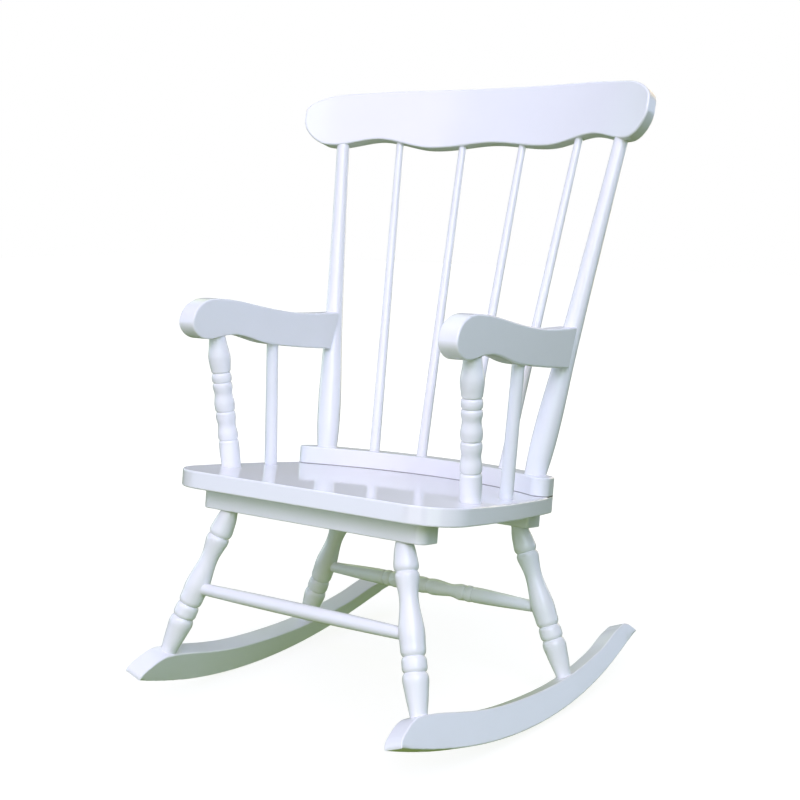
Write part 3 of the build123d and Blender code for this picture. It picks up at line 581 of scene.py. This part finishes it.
def screw_tree(material):
    """A screw on every point, its head's face on the point and its tip along the point's 'axis'."""
    tree = bpy.data.node_groups.new("countersunk wood screws", "GeometryNodeTree")
    tree.interface.new_socket("Geometry", in_out="INPUT", socket_type="NodeSocketGeometry")
    for name in ("Length", "Head Diameter", "Head Depth", "Core Diameter", "Thread Diameter",
                 "Thread Pitch", "Point Length"):
        tree.interface.new_socket(name, in_out="INPUT", socket_type="NodeSocketFloat")
    tree.interface.new_socket("Geometry", in_out="OUTPUT", socket_type="NodeSocketGeometry")
    given = add(tree, "NodeGroupInput").outputs

    def calculate(operation, first, second):
        node = add(tree, "ShaderNodeMath", {"operation": operation})
        for socket, value in zip(node.inputs, (first, second)):
            if isinstance(value, (int, float)):
                socket.default_value = value
            else:
                tree.links.new(value, socket)
        return node.outputs["Value"]

    def lifted(geometry, height):
        offset = add(tree, "ShaderNodeCombineXYZ", links={"Z": height}).outputs["Vector"]
        moved = add(tree, "GeometryNodeTransform", links={"Geometry": geometry,
                                                          "Translation": offset})
        return moved.outputs["Geometry"]

    # The head is a cone with a cross cut into its face.
    head_radius = calculate("MULTIPLY", given["Head Diameter"], 0.5)
    core_radius = calculate("MULTIPLY", given["Core Diameter"], 0.5)
    head = add(tree, "GeometryNodeMeshCone",
               links={"Radius Bottom": head_radius, "Radius Top": core_radius,
                      "Depth": given["Head Depth"]}, Vertices=HEAD_SIDES)
    slots = [add(tree, "GeometryNodeMeshCube", Size=size)
             for size in ((RECESS_SPAN, RECESS_WIDTH, 2 * RECESS_DEPTH),
                          (RECESS_WIDTH, RECESS_SPAN, 2 * RECESS_DEPTH))]
    cross = add(tree, "GeometryNodeMeshBoolean", {"operation": "UNION", "solver": "EXACT"})
    for slot in slots:
        tree.links.new(slot.outputs["Mesh"], cross.inputs["Mesh 2"])
    recessed = add(tree, "GeometryNodeMeshBoolean",
                   {"operation": "DIFFERENCE", "solver": "EXACT"},
                   {"Mesh 1": head.outputs["Mesh"], "Mesh 2": cross.outputs["Mesh"]})

    # A straight core runs into a tapered point, and the thread winds round the core.
    length_below_head = calculate("SUBTRACT", given["Length"], given["Head Depth"])
    body_length = calculate("SUBTRACT", length_below_head, given["Point Length"])
    core = add(tree, "GeometryNodeMeshCylinder", links={"Radius": core_radius,
                                                        "Depth": body_length}, Vertices=CORE_SIDES)
    core_middle = calculate("ADD", given["Head Depth"], calculate("MULTIPLY", body_length, 0.5))
    body_end = calculate("ADD", given["Head Depth"], body_length)
    tip_radius = calculate("MULTIPLY", given["Thread Diameter"], TIP_SHARE)
    tip = add(tree, "GeometryNodeMeshCone",
              links={"Radius Bottom": core_radius, "Radius Top": tip_radius,
                     "Depth": given["Point Length"]}, Vertices=CORE_SIDES)
    turns = calculate("DIVIDE", body_length, given["Thread Pitch"])
    helix = add(tree, "GeometryNodeCurveSpiral",
                links={"Rotations": turns, "Start Radius": core_radius, "End Radius": core_radius,
                       "Height": body_length}, Resolution=STEPS_A_TURN)
    thread_radius = calculate("MULTIPLY", given["Thread Diameter"], 0.5)
    ridge_radius = calculate("SUBTRACT", thread_radius, core_radius)
    ridge = add(tree, "GeometryNodeCurvePrimitiveCircle", {"mode": "RADIUS"},
                {"Radius": ridge_radius}, Resolution=RIDGE_SIDES)
    thread = add(tree, "GeometryNodeCurveToMesh",
                 links={"Curve": helix.outputs["Curve"], "Profile Curve": ridge.outputs["Curve"]},
                 Fill_Caps=True)
    screw = add(tree, "GeometryNodeJoinGeometry")
    for part in (recessed.outputs["Mesh"], lifted(core.outputs["Mesh"], core_middle),
                 lifted(tip.outputs["Mesh"], body_end),
                 lifted(thread.outputs["Mesh"], given["Head Depth"])):
        tree.links.new(part, screw.inputs["Geometry"])

    # A screwdriver leaves each cross at an angle of its own.
    axis = add(tree, "GeometryNodeInputNamedAttribute", {"data_type": "FLOAT_VECTOR"}, Name="axis")
    aligned = add(tree, "FunctionNodeAlignRotationToVector", {"axis": "Z"},
                  {"Vector": axis.outputs["Attribute"]})
    twist = add(tree, "FunctionNodeRandomValue", {"data_type": "FLOAT"}, Seed=TWIST_SEED)
    twist.inputs["Max"].default_value = math.pi / 2
    about_axis = add(tree, "ShaderNodeCombineXYZ", links={"Z": twist.outputs["Value"]})
    turned = add(tree, "FunctionNodeRotateRotation", {"rotation_space": "LOCAL"},
                 {"Rotation": aligned.outputs["Rotation"],
                  "Rotate By": about_axis.outputs["Vector"]})
    placed = add(tree, "GeometryNodeInstanceOnPoints",
                 links={"Points": given["Geometry"], "Instance": screw.outputs["Geometry"],
                        "Rotation": turned.outputs["Rotation"]})
    real = add(tree, "GeometryNodeRealizeInstances",
               links={"Geometry": placed.outputs["Instances"]})
    coated = add(tree, "GeometryNodeSetMaterial", links={"Geometry": real.outputs["Geometry"]},
                 Material=material)
    add(tree, "NodeGroupOutput", links={"Geometry": coated.outputs["Geometry"]})
    return tree


def screw_places(node):
    """Where a node's screws have their heads, which way each points, and how long they are."""
    heads, directions, length = [], [], 0.0
    for island in islands_of(node):
        middle, direction, start, end = axis_of(island)
        from_middle = island - numpy.array(middle)
        reach = from_middle @ numpy.array(direction)
        width = numpy.linalg.norm(from_middle - numpy.outer(reach, direction), axis=1)
        head_at = reach[width.argmax()]
        length = end - start
        heads.append(middle + direction * head_at)
        directions.append(direction if head_at < 0 else -direction)
    return heads, directions, length


steel = zinc_plate()
screws = screw_tree(steel)
for node in ("rail_screws", "cleat_screws", "arm_screws", "rocker_screws"):
    heads, directions, length = screw_places(node)
    points = bpy.data.meshes.new(f"{node}_threaded")
    points.from_pydata(heads, [], [])
    axes = points.attributes.new("axis", "FLOAT_VECTOR", "POINT")
    axes.data.foreach_set("vector", numpy.ravel(directions))
    piece = linked(f"{node}_threaded", points)
    maker = piece.modifiers.new("screws", "NODES")
    maker.node_group = screws
    sizes = {"Length": length, "Head Diameter": HEAD_DIAMETER, "Head Depth": HEAD_DEPTH,
             "Core Diameter": CORE_DIAMETER, "Thread Diameter": SHANK_DIAMETER,
             "Thread Pitch": THREAD_PITCH, "Point Length": POINT_LENGTH}
    for socket in screws.interface.items_tree:
        if socket.in_out == "INPUT" and socket.name in sizes:
            maker[socket.identifier] = float(sizes[socket.name])
    settle(piece)
    piece.data.materials.clear()
    stand_for(piece, node, steel)

# ---------------------------------------------------------------- floor, light and camera
# White paper on the floor, which hardly shows a shadow, a large soft window light from the front
# and the sitter's left, and weak fill from the sides and the back of the room.
FLOOR_REACH = 12.0
PAPER_SHADE = (0.22, 0.22, 0.22, 1)
PAPER_BOUNCE = (0.102, 0.15, 0.03, 1)
WHITE = (1, 1, 1, 1)
CEILING = (0.42, 0.50, 0.42)
WALLS = (  # azimuth in degrees, light, and how narrow it is
    (-90, (2.6, 2.72, 2.86), 7),
    (180, (1.45, 1.5, 1.6), 6),
    (135, (1.08, 1.4, 2.2), 5),
)
CHAIR_MIDDLE = Vector((0, 0, 0.36))
LAMP_DISTANCE = 3.5
LAMP_WIDTH = 2.4
LAMP_POWER = 100
LAMPS = (  # name, azimuth and elevation in degrees, and light
    ("window", 45, 35, (0.59, 0.62, 0.86)),
    ("window top", 45, 65, (0.093, 0.064, 0.046)),
    ("window low", 45, 8, (0.147, 0.196, 0.142)),
    ("front", 0, 35, (0.27, 0.21, 0.26)),
    ("front low", 0, 8, (0.199, 0.19, 0.178)),
    ("left low", -45, 8, (0.121, 0.156, 0.225)),
    ("left", -90, 8, (0.076, 0.118, 0.086)),
    ("left top", -90, 65, (0.052, 0.063, 0.194)),
    ("back left", -135, 35, (0.127, 0.152, 0.053)),
    ("back", 180, 8, (0.169, 0.128, 0.057)),
)
CAMERA_PLACE = (0.88059, -1.27803, 0.5662)
CAMERA_TURN = (82.0992, -0.6584, 34.4289)
LENS = 60.052
SENSOR_WIDTH = 36.0


def toward(azimuth, elevation):
    """The direction to a place in the room, round from the chair's front and up from the floor."""
    around, above = math.radians(azimuth), math.radians(elevation)
    return Vector((math.sin(around) * math.cos(above), -math.cos(around) * math.cos(above),
                   math.sin(above)))


floor_mesh = bpy.data.meshes.new("studio floor")
corners = [(x * FLOOR_REACH, y * FLOOR_REACH, 0) for x, y in ((-1, -1), (1, -1), (1, 1), (-1, 1))]
floor_mesh.from_pydata(corners, [], [(0, 1, 2, 3)])
floor = linked("studio_floor", floor_mesh)
paper = bpy.data.materials.new("white studio paper")
paper.use_nodes = True
tree = paper.node_tree
tree.nodes.clear()
# Painted light: to the camera the paper glows white, a little less near the chair, and to
# everything else it glows with a greenish bounce light, stronger right under the chair.
looked_at = add(tree, "ShaderNodeLightPath")
place = add(tree, "ShaderNodeTexCoord")
away = add(tree, "ShaderNodeVectorMath", {"operation": "LENGTH"},
           {"Vector": place.outputs["Object"]})
brighter = add(tree, "ShaderNodeMapRange", links={"Value": away.outputs["Value"]},
               From_Min=0.3, From_Max=1.5, To_Min=0.86, To_Max=1.0)
glow = add(tree, "ShaderNodeEmission", links={"Strength": brighter.outputs["Result"]}, Color=WHITE)
shaded = add(tree, "ShaderNodeBsdfDiffuse", Color=PAPER_SHADE)
shown = add(tree, "ShaderNodeAddShader",
            links={0: shaded.outputs["BSDF"], 1: glow.outputs["Emission"]})
near_chair = add(tree, "ShaderNodeMapRange", links={"Value": away.outputs["Value"]},
                 From_Min=0.45, From_Max=0.55, To_Min=1.5, To_Max=1.0)
bounced = add(tree, "ShaderNodeEmission", links={"Strength": near_chair.outputs["Result"]},
              Color=PAPER_BOUNCE)
either = add(tree, "ShaderNodeMixShader",
             links={"Fac": looked_at.outputs["Is Camera Ray"], 1: bounced.outputs["Emission"],
                    2: shown.outputs["Shader"]})
add(tree, "ShaderNodeOutputMaterial", links={"Surface": either.outputs["Shader"]})
floor_mesh.materials.append(paper)

world = bpy.data.worlds.new("soft studio")
bpy.context.scene.world = world
world.use_nodes = True
tree = world.node_tree
tree.nodes.clear()
way = add(tree, "ShaderNodeTexCoord")
height = add(tree, "ShaderNodeSeparateXYZ", links={"Vector": way.outputs["Generated"]})
ceiling = add(tree, "ShaderNodeMapRange", links={"Value": height.outputs["Z"]},
              From_Min=0.35, From_Max=1.0)
low_band = add(tree, "ShaderNodeMapRange", links={"Value": height.outputs["Z"]},
               From_Min=0.0, From_Max=0.3, To_Min=1.0, To_Max=0.0)
overhead = add(tree, "ShaderNodeVectorMath", {"operation": "SCALE"},
               {"Scale": ceiling.outputs["Result"]})
overhead.inputs[0].default_value = CEILING
room = overhead.outputs["Vector"]
for azimuth, tone, narrowness in WALLS:
    facing = add(tree, "ShaderNodeVectorMath", {"operation": "DOT_PRODUCT"},
                 {0: way.outputs["Generated"]})
    facing.inputs[1].default_value = toward(azimuth, 0)
    ahead = add(tree, "ShaderNodeMath", {"operation": "MAXIMUM"}, {0: facing.outputs["Value"]})
    ahead.inputs[1].default_value = 0.0
    narrowed = add(tree, "ShaderNodeMath", {"operation": "POWER"}, {0: ahead.outputs["Value"]})
    narrowed.inputs[1].default_value = narrowness
    strength = add(tree, "ShaderNodeMath", {"operation": "MULTIPLY"},
                   {0: narrowed.outputs["Value"], 1: low_band.outputs["Result"]})
    patch = add(tree, "ShaderNodeVectorMath", {"operation": "SCALE"},
                {"Scale": strength.outputs["Value"]})
    patch.inputs[0].default_value = tone
    room = add(tree, "ShaderNodeVectorMath", {"operation": "ADD"},
               {0: room, 1: patch.outputs["Vector"]}).outputs["Vector"]
looked_at = add(tree, "ShaderNodeLightPath")
seen = add(tree, "ShaderNodeMix", {"data_type": "RGBA"},
           {"Factor": looked_at.outputs["Is Camera Ray"], "A": room})
seen.inputs["B"].default_value = WHITE
background = add(tree, "ShaderNodeBackground", links={"Color": seen.outputs["Result"]},
                 Strength=1.0)
add(tree, "ShaderNodeOutputWorld", links={"Surface": background.outputs["Background"]})

for name, azimuth, elevation, tint in LAMPS:
    direction = toward(azimuth, elevation)
    light = bpy.data.lights.new(name, "AREA")
    light.shape = "DISK"
    light.size = LAMP_WIDTH
    light.energy = LAMP_POWER
    light.color = tint
    lamp = linked(name, light)
    lamp.location = CHAIR_MIDDLE + direction * LAMP_DISTANCE
    lamp.rotation_euler = (-direction).to_track_quat("-Z", "Y").to_euler()

camera_data = bpy.data.cameras.new("camera")
camera_data.sensor_width = SENSOR_WIDTH
camera_data.lens = LENS
camera = linked("camera", camera_data)
camera.location = CAMERA_PLACE
camera.rotation_euler = [math.radians(turn) for turn in CAMERA_TURN]
bpy.context.scene.camera = camera
bpy.context.scene.view_settings.view_transform = "Standard"
